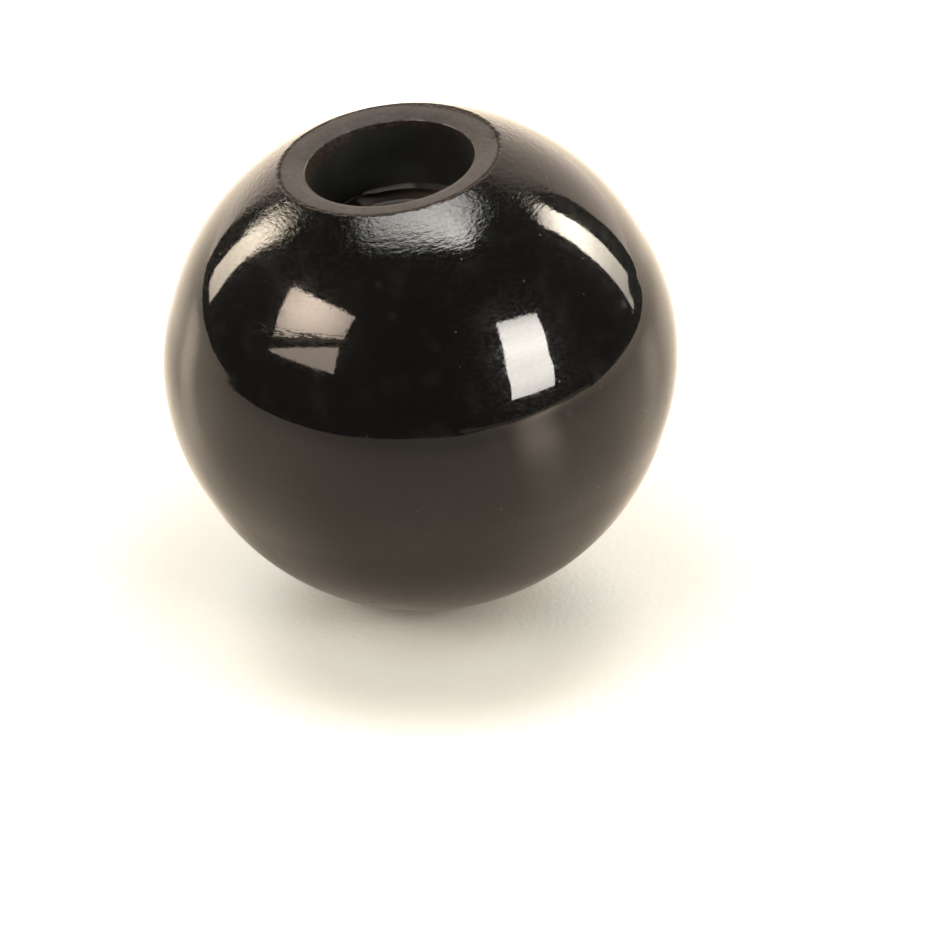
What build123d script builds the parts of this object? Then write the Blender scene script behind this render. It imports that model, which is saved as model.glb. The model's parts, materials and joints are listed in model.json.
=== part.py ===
from build123d import *
from math import asin, degrees
import os

# Ball knob for a machine lever, moulded in one piece.
# Millimetres. The origin is the middle of the flat mouth face, and +Z points out of the hole.

# The ball, and the flat mouth that it ends in, measured up from the parting line
ball_radius = 23.81
mouth_height = 21.35
mouth_diameter = 20.9
mouth_edge_radius = 0.3

# The crowned land round the mould's parting line
land_rise = 0.3
land_half_width = 8.3
land_blend_radius = 40.0

# The smooth socket that takes the lever's shank
socket_diameter = 15.875
socket_depth = 7.3
socket_chamfer = 0.55

# The tapped length below the socket, at the minor diameter of its thread
tapped_diameter = 13.6
tapped_length = 18.1
tapped_end_chamfer = 1.2

# The land's edges, as an angle up and down from the parting line
land_angle = degrees(asin(land_half_width / ball_radius))
ball_centre = (0, -mouth_height)
hole_depth = socket_depth + tapped_length

with BuildPart() as ball_knob:
    # Half of the outline, from the far pole past the land up to the mouth
    with BuildSketch(Plane.XZ):
        with BuildLine():
            lower_ball = CenterArc(ball_centre, ball_radius, -90, 90 - land_angle)
            under_land = CenterArc(
                ball_centre, ball_radius, -land_angle, 2 * land_angle, mode=Mode.PRIVATE
            )
            land_crest = (ball_radius + land_rise, -mouth_height)
            ThreePointArc(under_land @ 0, land_crest, under_land @ 1)
            mouth_corner = (mouth_diameter / 2, 0)
            TangentArc(under_land @ 1, mouth_corner, tangent=under_land % 1)
            Line(mouth_corner, (0, 0))
            Line((0, 0), lower_ball @ 0)
        make_face()
        # The land runs out into the ball on both sides, and the mouth has a rounded edge
        fillet(vertices().group_by(Axis.X)[-1], land_blend_radius)
        mouth_edge = vertices().group_by(Axis.Y)[-1].sort_by(Axis.X)[-1]
        fillet(mouth_edge, mouth_edge_radius)
    revolve(axis=Axis.Z)

    # The stepped hole, open at the mouth and closed inside the ball
    CounterBoreHole(
        radius=tapped_diameter / 2,
        counter_bore_radius=socket_diameter / 2,
        counter_bore_depth=socket_depth,
        depth=hole_depth,
    )
    mouth_face = faces().filter_by(GeomType.PLANE).sort_by(Axis.Z)[-1]
    chamfer(mouth_face.edges().sort_by(SortBy.RADIUS)[0], socket_chamfer)
    end_face = faces().filter_by(GeomType.PLANE).sort_by(Axis.Z)[0]
    chamfer(end_face.edges(), tapped_end_chamfer)

ball_knob.part.label = "ball_knob"

os.makedirs("parts", exist_ok=True)
export_step(ball_knob.part, "parts/ball_knob.step")
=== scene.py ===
import json
from math import asin, atan2, cos, hypot, pi, radians, sin, sqrt, tau

import bpy
from mathutils import Matrix, Vector


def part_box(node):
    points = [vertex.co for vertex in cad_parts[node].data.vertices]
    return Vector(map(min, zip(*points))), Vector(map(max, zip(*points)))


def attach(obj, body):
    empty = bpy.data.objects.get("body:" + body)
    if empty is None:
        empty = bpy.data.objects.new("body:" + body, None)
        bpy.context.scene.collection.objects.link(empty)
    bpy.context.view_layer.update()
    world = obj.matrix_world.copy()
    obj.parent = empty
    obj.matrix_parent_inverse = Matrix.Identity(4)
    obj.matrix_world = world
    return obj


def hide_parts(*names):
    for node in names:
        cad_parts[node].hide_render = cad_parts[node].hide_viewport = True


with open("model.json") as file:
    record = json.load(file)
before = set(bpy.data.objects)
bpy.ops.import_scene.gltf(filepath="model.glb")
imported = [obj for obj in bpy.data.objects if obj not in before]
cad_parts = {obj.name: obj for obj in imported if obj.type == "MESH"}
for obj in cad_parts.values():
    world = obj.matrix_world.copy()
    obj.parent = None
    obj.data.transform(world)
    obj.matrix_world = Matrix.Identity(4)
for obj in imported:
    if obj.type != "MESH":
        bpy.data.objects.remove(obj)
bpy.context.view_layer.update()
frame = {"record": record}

# The ball knob itself: one ball of black phenolic, pressed in a two-part mould, with a crowned land
# where the mould parted. Its mouth was cut flat, and a lever's stud screws into the stepped hole.
mm = 0.001
knob_low, knob_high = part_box("ball_knob")
mounts = {mount["name"]: mount for mount in frame["record"]["mounts"]}
land_rise = 0.3 * mm
land_half_width = 8.3 * mm
land_softness = 0.03 * mm
ball_radius = knob_high.x - land_rise
parting_height = knob_low.z + ball_radius
mouth_radius = 10.45 * mm
mouth_edge_radius = 0.3 * mm
socket_radius = mounts["socket"]["dims"]["r_mm"] * mm
socket_depth = 7.3 * mm
lip_wide = 1.2 * mm
lip_deep = 0.5 * mm
worn_radius = 9.9 * mm
tapped_radius = mounts["thread"]["dims"]["r_mm"] * mm
tapped_length = 18.1 * mm
tapped_end_chamfer = 1.2 * mm
thread_pitch = 25.4 / 11 * mm
thread_depth = 0.98 * (socket_radius - tapped_radius)
thread_lead_out = 1.2 * mm
first_ridge_depth = 8.82 * mm
first_ridge_angle = radians(87)
thread_start_angle = radians(119)
segments_around = 384
rows_per_turn = 11
row_angle = radians(1.25)
crease = 0.05 * mm


def arc_points(centre, radius, start, end, steps):
    """Points along an arc of the outline, each a distance from the axis and a height."""
    turns = [start + (end - start) * step / steps for step in range(steps + 1)]
    return [(centre[0] + radius * cos(turn), centre[1] + radius * sin(turn)) for turn in turns]


def line_points(start, end, steps):
    """Points along a straight stretch of the outline, without its first end."""
    shares = [step / steps for step in range(1, steps + 1)]
    return [tuple(a + (b - a) * share for a, b in zip(start, end)) for share in shares]


def land_height(height):
    """How far the crowned land stands proud of the ball, at a height over the parting line."""
    crown = land_rise * (1 - (height / land_half_width) ** 2)
    return (crown + hypot(crown, land_softness)) / 2


# Above the land the crown bends in a little more than the ball, to meet the mouth's edge
land_angle = asin(land_half_width / ball_radius)
land_edge_way = Vector((cos(land_angle), sin(land_angle)))
across_crown = Vector((mouth_radius, -parting_height)) - ball_radius * land_edge_way
crown_radius = -across_crown.length_squared / (2 * across_crown.dot(land_edge_way))
crown_centre = (ball_radius - crown_radius) * land_edge_way
edge_rise = -parting_height - mouth_edge_radius - crown_centre.y
edge_centre = (
    crown_centre.x + sqrt((crown_radius - mouth_edge_radius) ** 2 - edge_rise ** 2),
    -mouth_edge_radius,
)
edge_turn = atan2(edge_rise, edge_centre[0] - crown_centre.x)
neck_turn = edge_turn - radians(3)
ball_rows = round((land_angle + pi / 2) / row_angle)
crown_rows = round((neck_turn - land_angle) / row_angle)
below_neck = arc_points((0, 0), ball_radius, -pi / 2, land_angle, ball_rows)
below_neck += arc_points(crown_centre, crown_radius, land_angle, neck_turn, crown_rows)[1:]
outline = []
for radius, height in below_neck:
    share = 1 + land_height(height) / ball_radius
    outline.append((radius * share, height * share + parting_height))
neck_centre = (crown_centre.x, crown_centre.y + parting_height)
outline += arc_points(neck_centre, crown_radius, neck_turn, edge_turn, 14)[1:]
outline += arc_points(edge_centre, mouth_edge_radius, edge_turn, pi / 2, 4)[1:]
lip_top = (socket_radius + lip_wide, 0)
lip_foot = (socket_radius, -lip_deep)
shoulder_edge = (socket_radius, -socket_depth)
tapped_top = (tapped_radius, -socket_depth)
outline += line_points(outline[-1], (worn_radius, 0), 5)
outline += line_points(outline[-1], lip_top, 2)
lip_round = (lip_wide ** 2 + lip_deep ** 2) / (2 * lip_deep)
lip_turn = asin(lip_wide / lip_round)
outline += arc_points((lip_top[0], -lip_round), lip_round, pi / 2, pi / 2 + lip_turn, 8)[1:]
outline.append((lip_foot[0], lip_foot[1] - crease))
outline += line_points(outline[-1], (shoulder_edge[0], shoulder_edge[1] + crease), 4)
outline += [shoulder_edge, (shoulder_edge[0] - crease, shoulder_edge[1])]
outline += line_points(outline[-1], (tapped_top[0] + crease, tapped_top[1]), 2)
outline += [tapped_top]
first_threaded_row = len(outline)
thread_foot = (tapped_radius, tapped_end_chamfer - socket_depth - tapped_length)
thread_rows = round((tapped_top[1] - thread_foot[1]) / thread_pitch * rows_per_turn)
outline += line_points(tapped_top, thread_foot, thread_rows)
last_threaded_row = len(outline) - 1
end_edge = (tapped_radius - tapped_end_chamfer, thread_foot[1] - tapped_end_chamfer)
outline += line_points(thread_foot, end_edge, 2)
outline += line_points(end_edge, (0, end_edge[1]), 4)


def thread_share(row):
    """How much of its full depth the thread has at a row, which cuts through the shoulder too."""
    radius, height = outline[row]
    if first_threaded_row <= row <= last_threaded_row:
        return min(1.0, (height - thread_foot[1]) / thread_lead_out)
    if height == -socket_depth:
        return (socket_radius - radius) / (socket_radius - tapped_radius)
    return 0.0


def edge_wear(row):
    """How ragged a row of the outline is, worst where the cut mouth meets the moulded ball."""
    radius, height = outline[row]
    if height < -1 * mm:
        return 0.0
    inside = (radius - worn_radius) / (edge_centre[0] - worn_radius)
    outside = 1 - (radius - edge_centre[0]) / (0.2 * mm)
    return max(0.0, min(inside, outside))


moulding = bpy.data.meshes.new("knob_outline")
moulding.from_pydata(
    [(radius, 0, height) for radius, height in outline],
    [(row, row + 1) for row in range(len(outline) - 1)],
    [],
)
for name, rule in (("thread share", thread_share), ("edge wear", edge_wear)):
    shares = moulding.attributes.new(name, "FLOAT", "POINT")
    shares.data.foreach_set("value", [rule(row) for row in range(len(outline))])


class Wire:
    """A socket in a node tree, on which sums and products add the nodes that work them out."""

    def __init__(self, tree, socket=None):
        self.tree = tree
        self.socket = socket

    def node(self, kind, settings=(), inputs=(), output=0):
        """Adds a node: its settings first, then the values or links of its sockets."""
        made = self.tree.nodes.new(kind)
        for name, value in dict(settings).items():
            setattr(made, name, value)
        for name, value in dict(inputs).items():
            if isinstance(value, Wire):
                self.tree.links.new(value.socket, made.inputs[name])
            else:
                made.inputs[name].default_value = value
        return Wire(self.tree, made.outputs[output] if made.outputs else None)

    def maths(self, operation, *values):
        return self.node("ShaderNodeMath", {"operation": operation}, enumerate(values))

    def vectors(self, operation, *values, output=0):
        return self.node("ShaderNodeVectorMath", {"operation": operation}, enumerate(values), output)

    def __add__(self, other):
        return self.maths("ADD", self, other)

    def __sub__(self, other):
        return self.maths("SUBTRACT", self, other)

    def __rsub__(self, other):
        return self.maths("SUBTRACT", other, self)

    def __mul__(self, other):
        return self.maths("MULTIPLY", self, other)

    def __truediv__(self, other):
        return self.maths("DIVIDE", self, other)

    __radd__ = __add__
    __rmul__ = __mul__

    def axis(self, letter):
        """One coordinate of a vector."""
        return self.node("ShaderNodeSeparateXYZ", inputs={0: self}, output=letter)

    def stretched(self, across, along):
        """A vector with its level part and its height multiplied by different numbers."""
        return self.vectors("MULTIPLY", self, (across, across, along))

    def between(self, start, end):
        """0 at start and 1 at end, with a smooth change between."""
        places = {"Value": self, "From Min": start, "From Max": end}
        return self.node("ShaderNodeMapRange", {"interpolation_type": "SMOOTHSTEP"}, places)

    def noise(self, scale, detail=2.0, roughness=0.5):
        """Cloudy noise at this place, about 0 to 1."""
        sizes = {"Vector": self, "Scale": scale, "Detail": detail, "Roughness": roughness}
        return self.node("ShaderNodeTexNoise", inputs=sizes)

    def of_colour(self, red, green, blue):
        """A colour as strong as this number."""
        scaled = self.vectors("SCALE", (red, green, blue))
        self.tree.links.new(self.socket, scaled.socket.node.inputs["Scale"])
        return scaled

    def towards(self, other, share):
        """A colour that runs from this one to the other with the share."""
        return self.node("ShaderNodeMix", {"data_type": "RGBA"}, {0: share, 6: self, 7: other}, output=2)


# Geometry Nodes turn the outline round the axis, roughen the mouth's edge and wind the thread
turning = bpy.data.node_groups.new("turned_moulding", "GeometryNodeTree")
turning.interface.new_socket("Geometry", in_out="OUTPUT", socket_type="NodeSocketGeometry")
turning_inputs = {
    "Outline": ("NodeSocketGeometry", None),
    "Segments": ("NodeSocketInt", segments_around),
    "Thread Pitch": ("NodeSocketFloat", thread_pitch),
    "Thread Depth": ("NodeSocketFloat", thread_depth),
    "First Ridge": ("NodeSocketFloat", first_ridge_depth / thread_pitch + first_ridge_angle / tau),
    "Thread Start": ("NodeSocketFloat", thread_start_angle / tau),
    "Edge Wear": ("NodeSocketFloat", 0.14 * mm),
    "Chip Depth": ("NodeSocketFloat", 0.3 * mm),
    "Material": ("NodeSocketMaterial", bpy.data.materials.new("black_phenolic")),
}
turning_sockets = {
    name: turning.interface.new_socket(name, in_out="INPUT", socket_type=kind)
    for name, (kind, value) in turning_inputs.items()
}
start = Wire(turning)
given = start.node("NodeGroupInput").socket.node.outputs
given = {name: Wire(turning, given[name]) for name in turning_inputs}
rows = start.node("GeometryNodeAttributeDomainSize", inputs={"Geometry": given["Outline"]})
around = given["Segments"] + 1
grid_sizes = {"Size X": 1.0, "Size Y": 1.0, "Vertices X": rows, "Vertices Y": around}
grid = start.node("GeometryNodeMeshGrid", inputs=grid_sizes)
grid_place = start.node("GeometryNodeInputPosition")
row = start.maths("ROUND", (grid_place.axis("X") + 0.5) * (rows - 1))
turn = grid_place.axis("Y") + 0.5


def at_row(value, kind):
    """What the outline has at the grid's row."""
    places = {"Geometry": given["Outline"], "Value": value, "Index": row}
    return start.node("GeometryNodeSampleIndex", {"data_type": kind}, places)


def outline_share(name):
    return at_row(start.node("GeometryNodeInputNamedAttribute", {"data_type": "FLOAT"}, {"Name": name}), "FLOAT")


outline_place = at_row(start.node("GeometryNodeInputPosition"), "FLOAT_VECTOR")
depth_in_turns = outline_place.axis("Z") / given["Thread Pitch"]
winding = start.maths("FRACT", turn - depth_in_turns - given["First Ridge"] + 0.5)
from_ridge = start.maths("ABSOLUTE", winding - 0.5)
groove_depth = start.node("ShaderNodeClamp", inputs={"Value": (from_ridge - 0.125) / 0.3125})

# The first ridge starts bluntly, and a thin ledge of the shoulder is left beside its start
before_start = turn.between(given["Thread Start"] - 0.012, given["Thread Start"]) * turn.between(0.56, 0.5)
before_start *= outline_place.axis("Z").between(-10.4 * mm, -9.6 * mm)
groove_depth = start.maths("MAXIMUM", groove_depth, before_start)
ledge = turn.between(0.315, 0.28) * turn.between(0.08, 0.12)
groove_depth *= (1 - ledge * 0.45) * outline_share("thread share") * given["Thread Depth"]
turned = {"Angle": turn * tau, "Axis": (0.0, 0.0, 1.0)}
radius = outline_place.axis("X") + groove_depth
radius = start.node("ShaderNodeCombineXYZ", inputs={"X": radius, "Z": outline_place.axis("Z")})
turned_place = start.node("ShaderNodeVectorRotate", inputs={"Vector": radius, **turned})

# The cutter left the mouth's outer edge broken, with one chip out of it
inward = start.vectors("SUBTRACT", (0.0, 0.0, parting_height), turned_place)
inward = start.vectors("NORMALIZE", inward)
broken = turned_place.noise(1700, 4, 0.65).between(0.4, 0.7) * outline_share("edge wear") * given["Edge Wear"]
chip_place = (9.95 * mm, 1.3 * mm, -0.05 * mm)
from_chip = start.vectors("DISTANCE", turned_place, chip_place, output="Value")
chip_size = turned_place.noise(2500, 2) * 0.9 * mm + 0.25 * mm
chip = (1 - (from_chip / chip_size).between(0.35, 1.0)) * given["Chip Depth"]
sunk = start.vectors("SCALE", inward)
start.tree.links.new((broken + chip).socket, sunk.socket.node.inputs["Scale"])
worn_place = start.vectors("ADD", turned_place, sunk)

# The turned grid is closed along its seam and at both poles, and its faces are made to look outward
solid = start.node("GeometryNodeSetPosition", inputs={"Geometry": grid, "Position": worn_place})
solid = start.node("GeometryNodeMergeByDistance", inputs={"Geometry": solid, "Distance": 1e-7})
solid = start.node("GeometryNodeFlipFaces", inputs={"Mesh": solid})
solid = start.node("GeometryNodeSetShadeSmooth", inputs={"Geometry": solid})
solid = start.node("GeometryNodeRealizeInstances", inputs={"Geometry": solid})
solid = start.node("GeometryNodeSetMaterial", inputs={"Geometry": solid, "Material": given["Material"]})
start.node("NodeGroupOutput", inputs={"Geometry": solid})

knob = bpy.data.objects.new("knob_moulding", moulding)
bpy.context.scene.collection.objects.link(knob)
turner = knob.modifiers.new("turned moulding", "NODES")
turner.node_group = turning
for name, (kind, value) in turning_inputs.items():
    if value is not None:
        turner[turning_sockets[name].identifier] = value
finished = knob.evaluated_get(bpy.context.evaluated_depsgraph_get())
knob.data = bpy.data.meshes.new_from_object(finished)
knob.modifiers.remove(turner)

# The phenolic is polished black outside, with fine streaks round the neck from the mould. The cut
# mouth is a satin grey, the hole is dull, and handling has left dust, smudges and a faint haze.
# The places in it are in millimetres, with heights measured up from the mouth.
phenolic = turning_inputs["Material"][1]
phenolic.use_nodes = True
phenolic.node_tree.nodes.clear()
paint = Wire(phenolic.node_tree)
place = paint.node("ShaderNodeTexCoord", output="Object")
place = paint.vectors("MULTIPLY", place, (1000.0, 1000.0, 1000.0))
height = place.axis("Z")
from_axis = paint.vectors("LENGTH", place.stretched(1, 0), output="Value")
in_hole = from_axis.between(8.2, 8.0) * height.between(-27.0, -26.0)
at_mouth = height.between(-0.58, -0.52)
jagged = place.noise(2.2, 4, 0.65) - 0.5
far_right = paint.vectors("DOT_PRODUCT", place, (0.058, 0.077, 0.0), output="Value").between(0.75, 0.98)
flat_end = (from_axis + jagged * 0.9 + far_right * 0.4).between(10.08, 10.16)
polish_start = (from_axis + jagged * 0.5).between(10.44, 10.36)
cut = at_mouth * from_axis.between(7.92, 7.96) * (1 - flat_end)
worn_edge = at_mouth * flat_end * polish_start
# Painted highlight: a pale line along the foot of the lip on the cut face, stronger towards the far side
painted_lip_highlight = height.between(-0.53, -0.5) * height.between(-0.38, -0.45) * cut
painted_lip_highlight *= place.noise(0.6).between(0.42, 0.6) * (place.axis("Y").between(-1.0, 3.0) * 1.2 + 0.8)
# A lighter brown band round the top of the hole, reaching further down on the left
brown_lip_band = in_hole * (height + jagged + place.axis("X").between(-2.0, -6.0) * 1.1).between(-1.2, -0.7)

# A band of small dull marks lies on the shoulder that faces the front left
scuffed = place.stretched(0.8, 6.0).noise(1.0, 5, 0.7).between(0.49, 0.53)
scuff_height = height + jagged * 0.8
scuffed *= scuff_height.between(-8.5, -8.2) * scuff_height.between(-7.25, -7.55)
scuffed *= place.axis("X").between(-5.0, -8.0) * place.axis("Y").between(-12.5, -14.0)
bare_dull = cut + worn_edge + in_hole
dull = bare_dull + scuffed * 0.9
# Masks for painted light in the hole: deep under the shoulder, on its ledge and on the first ridge's crest
below_socket = height.between(-7.25, -7.3) * in_hole
ledge_top = height.between(-7.36, -7.32) * height.between(-7.12, -7.2) * in_hole
painted_ridge_highlight = below_socket * from_axis.between(7.04, 6.92)
neck = height.between(-6.5, -2.0)
by_mouth = height.between(-4.8, -1.8)
upper_side = height.between(-15.0, -5.0)

# Handling marks: smudges, a few specks of dust, fine wear and some larger blots
smudges = place.noise(0.35, 3).between(0.5, 0.75)
mottle = place.noise(2.2, 4, 0.6)
patches = place.noise(0.28, 2)
fine_wear = place.stretched(2.0, 4.0).noise(1.0, 4, 0.65)


def scattered(scale, output):
    """Spots strewn over the surface: how far the nearest one is, or a random colour of its own."""
    return paint.node("ShaderNodeTexVoronoi", inputs={"Vector": place, "Scale": scale}, output=output)


specks = scattered(0.55, "Distance").between(0.085, 0.05)
specks *= scattered(0.55, "Color").axis("X").between(0.6, 0.65)
blots = (scattered(0.22, "Distance") + fine_wear * 0.1).between(0.2, 0.08)
blots *= scattered(0.22, "Color").axis("Y").between(0.4, 0.45)

# The colours: black where it is polished, browns and greys where the material lies bare, and painted light and
# shade in the hole and on the cut face
black = paint.node("ShaderNodeRGB")
black.socket.default_value = (0.0032, 0.003, 0.0025, 1)
polish_colour = black.towards((0.0085, 0.0081, 0.0072, 1), smudges * 0.6)
polish_colour = polish_colour.towards((0.05, 0.047, 0.042, 1), specks)
# Painted light: the hole's far wall is lighter deep down in its middle; the patches are the wall's own uneven tone
painted_far_wall_light = place.axis("X").between(-5.0, -0.5) * place.axis("X").between(5.0, -0.5)
wall = (height.between(-3.5, -7.0) * painted_far_wall_light * 1.9 + patches.between(0.3, 0.7) * 0.15 + 0.4) * in_hole + 0.1
dull_colour = wall.of_colour(0.03, 0.0295, 0.025)
lip_band_tone = mottle.between(0.35, 0.65) * 0.5 + 0.35
dull_colour = dull_colour.towards(lip_band_tone.of_colour(0.05, 0.034, 0.024), brown_lip_band)
# Painted light in the first groove under the shoulder, lighter further down
painted_groove_light = height.between(-9.4, -7.8) * 1.7 + 0.45
dull_colour = dull_colour.towards(painted_groove_light.of_colour(0.026, 0.019, 0.014), below_socket)
# Painted light on the ledge beside the thread's start, bright over a short stretch and dimmer past it, with
# painted shadow edges
painted_ledge_light = (place.axis("X").between(2.3, 1.4) * 0.75 + 0.25) * place.axis("X").between(-3.1, -2.7)
# A painted highlight along the first ridge's crest
dull_colour = dull_colour.towards((0.42, 0.39, 0.34, 1), painted_ridge_highlight)
dull_colour = dull_colour.towards(painted_ledge_light.of_colour(0.23, 0.21, 0.185), ledge_top)
# The cut face's grey: its own mottled, patchy tone, plus the painted highlight along the lip and painted shade
# that darkens it towards the far side and further towards the far right
cut_grey = mottle.between(0.3, 0.7) * 0.25 + patches.between(0.35, 0.65) * 0.2 + 0.7 + painted_lip_highlight
cut_grey *= (1 - place.axis("Y").between(-4.0, 6.0) * 0.18 - far_right * 0.12)
dull_colour = dull_colour.towards(cut_grey.of_colour(0.097, 0.082, 0.071), cut)
# The broken edge: brown, with paler red-brown spots that are partly the material and partly painted glints
broken_brown_and_glints = mottle.between(0.56, 0.66) * 1.6 + 0.25
dull_colour = dull_colour.towards(broken_brown_and_glints.of_colour(0.05, 0.032, 0.022), worn_edge)

# The relief, in millimetres: wrinkles round the neck, the moulding's faint peel and the cutter's marks
wrinkles = place.stretched(0.9, 3.0).noise(1.0, 3, 0.5) * neck * 0.014
wrinkles += place.stretched(1.0, 5.0).noise(1.0, 4, 0.6) * by_mouth * 0.014
wrinkles += place.stretched(1.5, 4.5).noise(1.0, 4, 0.6) * height.between(-4.0, -0.8) * 0.045
fuzz = place.noise(3.5, 3, 0.5) * upper_side * 0.003
peel = place.noise(0.5, 2) * 0.003
tooling = place.noise(3.5, 4, 0.65) * bare_dull * 0.04
relief = wrinkles + fuzz + peel + tooling
bumps = paint.node("ShaderNodeBump", inputs={"Strength": 1.0, "Distance": mm, "Height": relief})

# The polish under its thin haze, and the dull finish of what was cut, tapped or scuffed
gloss_roughness = smudges * 0.03 + 0.03 + specks * 0.15 + fine_wear.between(0.45, 0.75) * 0.07
gloss_finish = {"Base Color": polish_colour, "Roughness": gloss_roughness, "IOR": 1.6}
hazy_finish = {"Base Color": polish_colour, "Roughness": 0.34, "IOR": 1.6}
dull_finish = {"Base Color": dull_colour, "Roughness": 0.5, "IOR": 1.3}
polished = paint.node("ShaderNodeBsdfPrincipled", inputs={**gloss_finish, "Normal": bumps})
hazed = paint.node("ShaderNodeBsdfPrincipled", inputs={**hazy_finish, "Normal": bumps})
dulled = paint.node("ShaderNodeBsdfPrincipled", inputs={**dull_finish, "Normal": bumps})
haze = fine_wear.between(0.35, 0.7) * 0.1 + smudges * 0.06 + 0.01 + blots * 0.3
polished = paint.node("ShaderNodeMixShader", inputs={0: haze, 1: polished, 2: hazed})
surface = paint.node("ShaderNodeMixShader", inputs={0: dull, 1: polished, 2: dulled})
paint.node("ShaderNodeOutputMaterial", inputs={"Surface": surface})

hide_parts("ball_knob")
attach(knob, "root")

# The camera stands a metre off and looks down on the knob, which leans to the left in its view.
# The long lens is set by how large the ball stands in the picture.
camera_distance = 1.0
camera_height_angle = radians(30.6)
camera_roll = radians(8.96)
ball_offset = Vector((-5.09 * mm, 11.07 * mm, 0))
ball_centre = Vector((0, 0, parting_height))
camera_turn = Matrix.Rotation(pi / 2 - camera_height_angle, 4, "X") @ Matrix.Rotation(-camera_roll, 4, "Z")
camera = bpy.data.objects.new("camera", bpy.data.cameras.new("camera"))
bpy.context.scene.collection.objects.link(camera)
camera_step = Vector((0, 0, camera_distance)) - ball_offset
camera.matrix_world = Matrix.Translation(ball_centre) @ camera_turn @ Matrix.Translation(camera_step)
camera.data.sensor_width = 36
camera.data.lens = 405.4
camera.data.clip_end = 20
bpy.context.scene.camera = camera

# The table: a pale sheet with a fine leathery grain, lying where the ball touches it. The knob
# rolled a little to one side on it, so the sheet is level in the camera's view and not for the knob.
# Its uneven outline is the edge that the polish mirrors, between the pale sheet and the dark room.
table_tilt = radians(30.0)
studio = Matrix.Translation(ball_centre) @ camera_turn @ Matrix.Rotation(table_tilt - pi / 2, 4, "X")
table_outline = (
    (-0.5, 0.5), (-0.4, 0.33), (-0.345, 0.23), (-0.32, 0.16), (-0.295, 0.11), (-0.265, 0.06), (-0.245, 0.02),
    (-0.24, -0.005), (-0.27, -0.025), (-0.287, -0.055), (-0.277, -0.12), (-0.265, -0.19), (-0.24, -0.245),
    (-0.205, -0.28), (-0.185, -0.37), (-0.145, -0.45), (-0.07, -0.54), (0.0, -0.63), (0.07, -0.61),
    (0.15, -0.59), (0.27, -0.67), (0.42, -0.82), (0.75, -1.1), (1.31, -1.79), (2.3, -1.9), (2.4, -1.2),
    (1.6, -0.55), (0.78, -0.15), (0.9, -0.06), (0.92, 0.06), (0.88, 0.14), (0.74, 0.2), (0.62, 0.25),
    (0.54, 0.29), (0.53, 0.34), (0.535, 0.39), (0.525, 0.43), (0.45, 0.395), (0.41, 0.385), (1.1, 1.3),
    (-0.7, 1.3),
)
table_mesh = bpy.data.meshes.new("table")
table_mesh.from_pydata([(x, y, 0) for x, y in reversed(table_outline)], [], [range(len(table_outline))])
table = bpy.data.objects.new("table", table_mesh)
bpy.context.scene.collection.objects.link(table)
table.matrix_world = studio @ Matrix.Translation((0, 0, -ball_radius))

table_finish = bpy.data.materials.new("table_sheet")
table_finish.use_nodes = True
table_finish.node_tree.nodes.clear()
sheet = Wire(table_finish.node_tree)
sheet_place = sheet.node("ShaderNodeTexCoord", output="Object")
sheet_place = sheet.vectors("MULTIPLY", sheet_place, (1000.0, 1000.0, 1000.0))
from_contact = sheet.vectors("LENGTH", sheet_place, output="Value")
rays = sheet.node("ShaderNodeLightPath").socket.node.outputs
seen = Wire(sheet.tree, rays["Is Camera Ray"]) + Wire(sheet.tree, rays["Is Transmission Ray"])
mirrored = Wire(sheet.tree, rays["Is Glossy Ray"])
grain = sheet_place.noise(1.6, 4, 0.6)
grain_bump = sheet.node("ShaderNodeBump", inputs={"Strength": 1.0, "Distance": mm, "Height": grain * 0.11})
matt = sheet.node("ShaderNodeBsdfDiffuse", inputs={"Color": (0.80, 0.67, 0.53, 1), "Normal": grain_bump})

# Painted light: a glow that the camera sees on the open table, kept off round the contact so that it shapes the
# lamps' shadow, stronger and whiter further out
from_shadow = sheet.vectors("DISTANCE", sheet_place, (1.5, -11.5, 0.0), output="Value")
near_lift = seen * from_contact.between(4.0, 18.5)
side_lift = seen * from_shadow.between(10.5, 22.5)
far_lift = seen * from_contact.between(23, 44)
lift = near_lift.of_colour(0.25, 0.28, 0.26)
lift = lift.vectors("ADD", lift, side_lift.of_colour(0.28, 0.26, 0.24))
lift = lift.vectors("ADD", lift, far_lift.of_colour(0.2, 0.3, 0.38))

# Painted light seen only in the polish: the table glows brightest behind the knob, with a painted gleam at the
# front right and one that runs off to each side
behind = sheet_place.axis("Y") / from_contact
along = sheet.vectors("DOT_PRODUCT", sheet_place, (0.739, -0.674, 0.0), output="Value")
across = sheet.vectors("DOT_PRODUCT", sheet_place, (0.674, 0.739, 0.0), output="Value")
gleam = sheet.maths("ABSOLUTE", across / along - along.between(250, 1200) * 0.12).between(0.24, 0.02)
gleam = gleam * along.between(25, 130) * along.between(2600, 900) * 1.4


def side_gleam(sideways, offset, outward, strength):
    """A soft painted streak of light on the table, whose middle line passes the contact at an offset."""
    from_line = sheet.vectors("DOT_PRODUCT", sheet_place, sideways, output="Value") + offset
    streak = sheet.maths("ABSOLUTE", from_line / from_contact).between(0.18, 0.02)
    return streak * sheet_place.axis("X").between(0, outward) * from_contact.between(300, 180) * strength


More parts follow.
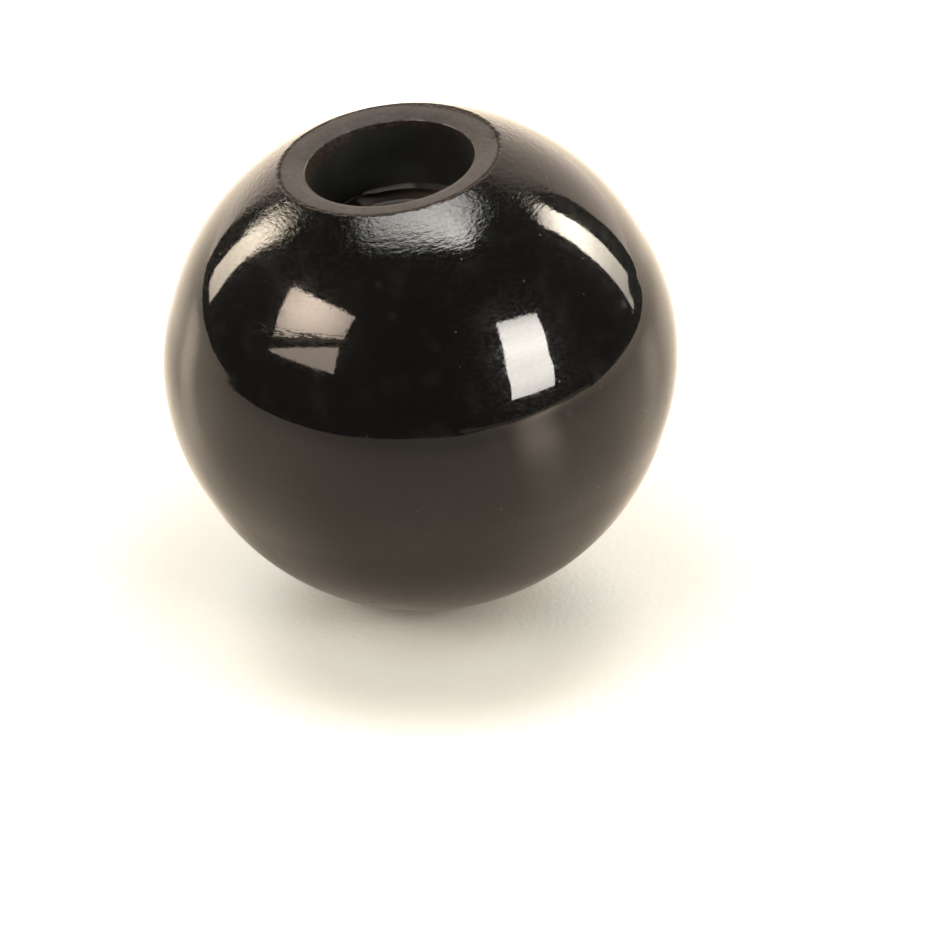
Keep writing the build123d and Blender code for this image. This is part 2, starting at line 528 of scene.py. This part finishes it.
side_gleams = side_gleam((0.604, 0.797, 0.0), 24, -30, 1.15) + side_gleam((-0.487, 0.873, 0.0), 16.3, 30, 0.5)
side_gleams *= from_contact.between(20, 120)
beside = behind.between(-1.0, -0.5) * 0.25 + behind.between(-0.3, 0.15) * 0.22 + behind.between(0.45, 0.8) * 0.5
beside -= from_contact.between(100, 220) * behind.between(0.3, 0.6) * behind.between(0.9, 0.7) * 0.42
beside += behind.between(0.7, 0.95) * 0.35
close = from_contact.between(75, 42) * (sheet_place.axis("X").between(40, -10) * 0.7 + 0.3)
beside += close * behind.between(0.0, 0.35) * behind.between(0.8, 0.6) * 0.45
further = behind.between(-0.6, 0.1) * behind.between(0.5, 0.2) * 0.3 + behind.between(0.75, 1.0) * 0.75 + 0.15
mirror_lift = from_contact.between(14, 27) * beside + from_contact.between(150, 900) * further
mirror_lift = mirrored * (mirror_lift + gleam + side_gleams + 0.03)
lift = lift.vectors("ADD", lift, mirror_lift.of_colour(1.0, 0.84, 0.66))
# Painted shade seen only in the polish: a darker copy of the table, more of it further out in front of and beside
# the knob
shaded_sheet = sheet.node("ShaderNodeBsdfDiffuse", inputs={"Color": (0.42, 0.35, 0.28, 1)})
shaded_share = from_contact.between(10, 260) * behind.between(0.6, 0.2) * 0.9
matt = sheet.node("ShaderNodeMixShader", inputs={0: mirrored * shaded_share, 1: matt, 2: shaded_sheet})
shine = sheet.node("ShaderNodeEmission", inputs={"Color": lift})
sheet_surface = sheet.node("ShaderNodeAddShader", inputs={0: matt, 1: shine})

# Far off, the sheet runs out into the plain white of the surroundings
white = sheet.node("ShaderNodeEmission", inputs={"Color": (1, 1, 1, 1)})
run_out = seen * from_contact.between(120, 300)
sheet_surface = sheet.node("ShaderNodeMixShader", inputs={0: run_out, 1: sheet_surface, 2: white})
sheet.node("ShaderNodeOutputMaterial", inputs={"Surface": sheet_surface})
table_mesh.materials.append(table_finish)

# The studio as the polish shows it: a dark room, a white backdrop, and soft boxes on all sides.
# Each is a sheet that only glossy rays meet, so that it shows in the knob's polish alone.


def studio_place(azimuth, elevation, distance):
    """A place round the ball: azimuth 0 is straight behind it, and plus is to the right."""
    level = distance * cos(radians(elevation))
    turn = radians(azimuth)
    return Vector((level * sin(turn), level * cos(turn), distance * sin(radians(elevation))))


def shown_in_polish(name, colour, places, faces, strengths):
    """A glowing sheet with its own strength at each corner, that shows in reflections only."""
    mesh = bpy.data.meshes.new(name)
    mesh.from_pydata(places, [], faces)
    glow = mesh.attributes.new("glow", "FLOAT", "POINT")
    glow.data.foreach_set("value", strengths)
    finish = bpy.data.materials.new(name)
    finish.use_nodes = True
    finish.node_tree.nodes.clear()
    light = Wire(finish.node_tree)
    glow = light.node("ShaderNodeAttribute", {"attribute_name": "glow"}, output="Fac")
    glowing = light.node("ShaderNodeEmission", inputs={"Color": glow.of_colour(*colour)})
    light.node("ShaderNodeOutputMaterial", inputs={"Surface": glowing})
    mesh.materials.append(finish)
    glowing_sheet = bpy.data.objects.new(name, mesh)
    bpy.context.scene.collection.objects.link(glowing_sheet)
    glowing_sheet.matrix_world = studio
    glowing_sheet.visible_camera = False
    glowing_sheet.visible_diffuse = False
    glowing_sheet.visible_shadow = False
    glowing_sheet.visible_transmission = False


def panel(name, colour, first_edge, second_edge, middle=1.0, distance=1.2, steps=12):
    """A light panel stretched between two edges, whose corners are azimuth, elevation, strength."""
    places, strengths = [], []
    for (*start_way, start_glow), (*end_way, end_glow) in zip(first_edge, second_edge):
        start, end = studio_place(*start_way, distance), studio_place(*end_way, distance)
        shares = [step / steps for step in range(steps + 1)]
        places += [start.lerp(end, share) for share in shares]
        fuller = [1 + (middle - 1) * sin(pi * share) for share in shares]
        strengths += [(start_glow + (end_glow - start_glow) * a) * b for a, b in zip(shares, fuller)]
    wide = steps + 1
    corners = [row * wide + step for row in range(len(first_edge) - 1) for step in range(steps)]
    faces = [(corner, corner + 1, corner + 1 + wide, corner + wide) for corner in corners]
    shown_in_polish(name, colour, places, faces, strengths)


room_ways = [(azimuth, elevation) for elevation in range(-90, 91, 15) for azimuth in range(0, 360, 15)]
room_corners = [(row * 24, column, (column + 1) % 24) for row in range(12) for column in range(24)]
shown_in_polish(
    "dark_room",
    (1.0, 0.96, 0.85),
    [studio_place(azimuth, elevation, 2.5) for azimuth, elevation in room_ways],
    [(first + left, first + right, first + 24 + right, first + 24 + left) for first, left, right in room_corners],
    [0.06] * len(room_ways),
)

panel(
    "backdrop",
    (1.3, 1.08, 0.9),
    ((-54.7, -5.2, 1.9), (-46.5, -3.9, 1.9), (-42.2, 1.8, 1.7), (-39.6, 9, 1.3), (-39.6, 24, 0.9), (-40, 47, 0.5)),
    ((46, -4.4, 1.8), (44, -1.6, 1.75), (43.2, 4.7, 1.5), (43.4, 12, 1.15), (42.2, 24, 0.85), (43.2, 47, 0.5)),
)
panel(
    "front_left_box",
    (1.0, 0.82, 0.66),
    ((-97.5, 34.9, 9.5), (-100.1, 26.7, 8.7), (-104.7, 16.5, 4.6)),
    ((-140.6, 41.4, 5.2), (-139.8, 36.2, 5.6), (-139.3, 31, 4.6)),
    middle=1.75,
)
panel(
    "front_left_foot",
    (1.0, 0.82, 0.68),
    ((-105.2, 11.6, 4.0), (-105.6, 11.0, 4.0)),
    ((-138.6, 27.2, 4.6), (-139.6, 15.7, 4.0)),
)
panel(
    "front_right_box",
    (1.0, 0.95, 0.88),
    ((112.7, 31.6, 10), (113.5, 28, 15), (115.2, 20, 19), (118.9, 8.3, 11)),
    ((136.1, 37.2, 10), (136.6, 33, 15), (138, 24, 19), (139.9, 9.8, 12)),
)
panel(
    "left_box",
    (1.0, 0.86, 0.68),
    ((-54.5, 0.3, 4), (-53, 3, 5.5), (-53.3, 10, 7), (-53.3, 16, 10), (-52.3, 22, 13), (-52, 30, 12)),
    ((-61.5, -0.7, 4), (-63.3, 4, 5.5), (-63.7, 10, 7), (-64.3, 17, 10), (-66, 25, 13), (-66, 38, 12)),
)
panel(
    "right_box",
    (1.0, 0.9, 0.76),
    ((52.5, 40.5, 5), (52.2, 37, 10), (53, 31, 19), (53.2, 25, 18), (53.8, 18, 11), (54, 9, 6), (53.5, 2, 3.5)),
    ((64, 42.5, 5), (65.3, 39, 10), (64.8, 31, 19), (65.5, 24, 17), (65, 17, 10), (64, 10, 5.5), (62.5, 1.6, 3.5)),
)
panel(
    "overhead_box",
    (1.0, 0.95, 0.9),
    ((-40.9, 59.2, 4), (-80.2, 68.5, 4), (-93.8, 69.8, 3), (-105.2, 71.0, 2)),
    ((41, 62.0, 5), (67, 68.6, 5.5), (92.5, 70.2, 11), (113.0, 69.8, 12)),
    middle=1.4,
)
panel(
    "far_table",
    (0.68, 0.57, 0.45),
    ((100, -1.6, 0.5), (104, -1.6, 0.5), (108, -1.4, 0.5), (122, -1.2, 0.5), (134, -1.2, 0.5), (164, -1.4, 0.5)),
    ((100, -1.5, 0.5), (104, -0.3, 0.5), (108, 0.4, 0.5), (122, 0.6, 0.5), (134, 0.2, 0.5), (164, 0.1, 0.5)),
    distance=2.3,
)

# The light that those boxes throw on the knob and its table, set to the plain level


def soft_lamp(name, azimuth, elevation, wide, high, watts, colour=(1, 1, 1)):
    """A soft lamp a metre from the ball and aimed at it, which stays out of the polish."""
    light = bpy.data.lights.new(name, "AREA")
    light.shape = "RECTANGLE"
    light.size = wide
    light.size_y = high
    light.energy = watts
    light.color = colour
    lamp = bpy.data.objects.new(name, light)
    bpy.context.scene.collection.objects.link(lamp)
    away = studio_place(azimuth, elevation, 1.0)
    aim = away.to_track_quat("Z", "Y").to_matrix().to_4x4()
    lamp.matrix_world = studio @ Matrix.Translation(away) @ aim
    lamp.visible_glossy = False
    lamp.visible_camera = False


soft_lamp("overhead_lamp", 0, 86, 0.8, 0.45, 3.2)
soft_lamp("front_left_lamp", -118, 29, 0.66, 0.35, 4.5)
soft_lamp("front_right_lamp", 126, 22, 0.45, 0.4, 6.0)
soft_lamp("left_lamp", -58, 17, 0.26, 0.5, 2.8)
soft_lamp("right_lamp", 59, 20, 0.26, 0.6, 2.6)
soft_lamp("backdrop_lamp", 0, 22, 1.4, 0.7, 2.4)

# The room's white surroundings, plain white wherever they are seen, and faint as a light
world = bpy.data.worlds.new("surroundings")
bpy.context.scene.world = world
world.use_nodes = True
world.node_tree.nodes.clear()
sky = Wire(world.node_tree)
sky_rays = sky.node("ShaderNodeLightPath").socket.node.outputs
shown = [Wire(sky.tree, sky_rays[name]) for name in ("Is Camera Ray", "Is Glossy Ray", "Is Transmission Ray")]
shown = sky.node("ShaderNodeClamp", inputs={"Value": shown[0] + shown[1] + shown[2]})
surrounding = shown * 0.93 + 0.07
surrounding = sky.node("ShaderNodeBackground", inputs={"Color": surrounding.of_colour(1, 1, 1)})
sky.node("ShaderNodeOutputWorld", inputs={"Surface": surrounding})

bpy.context.scene.view_settings.view_transform = "Standard"
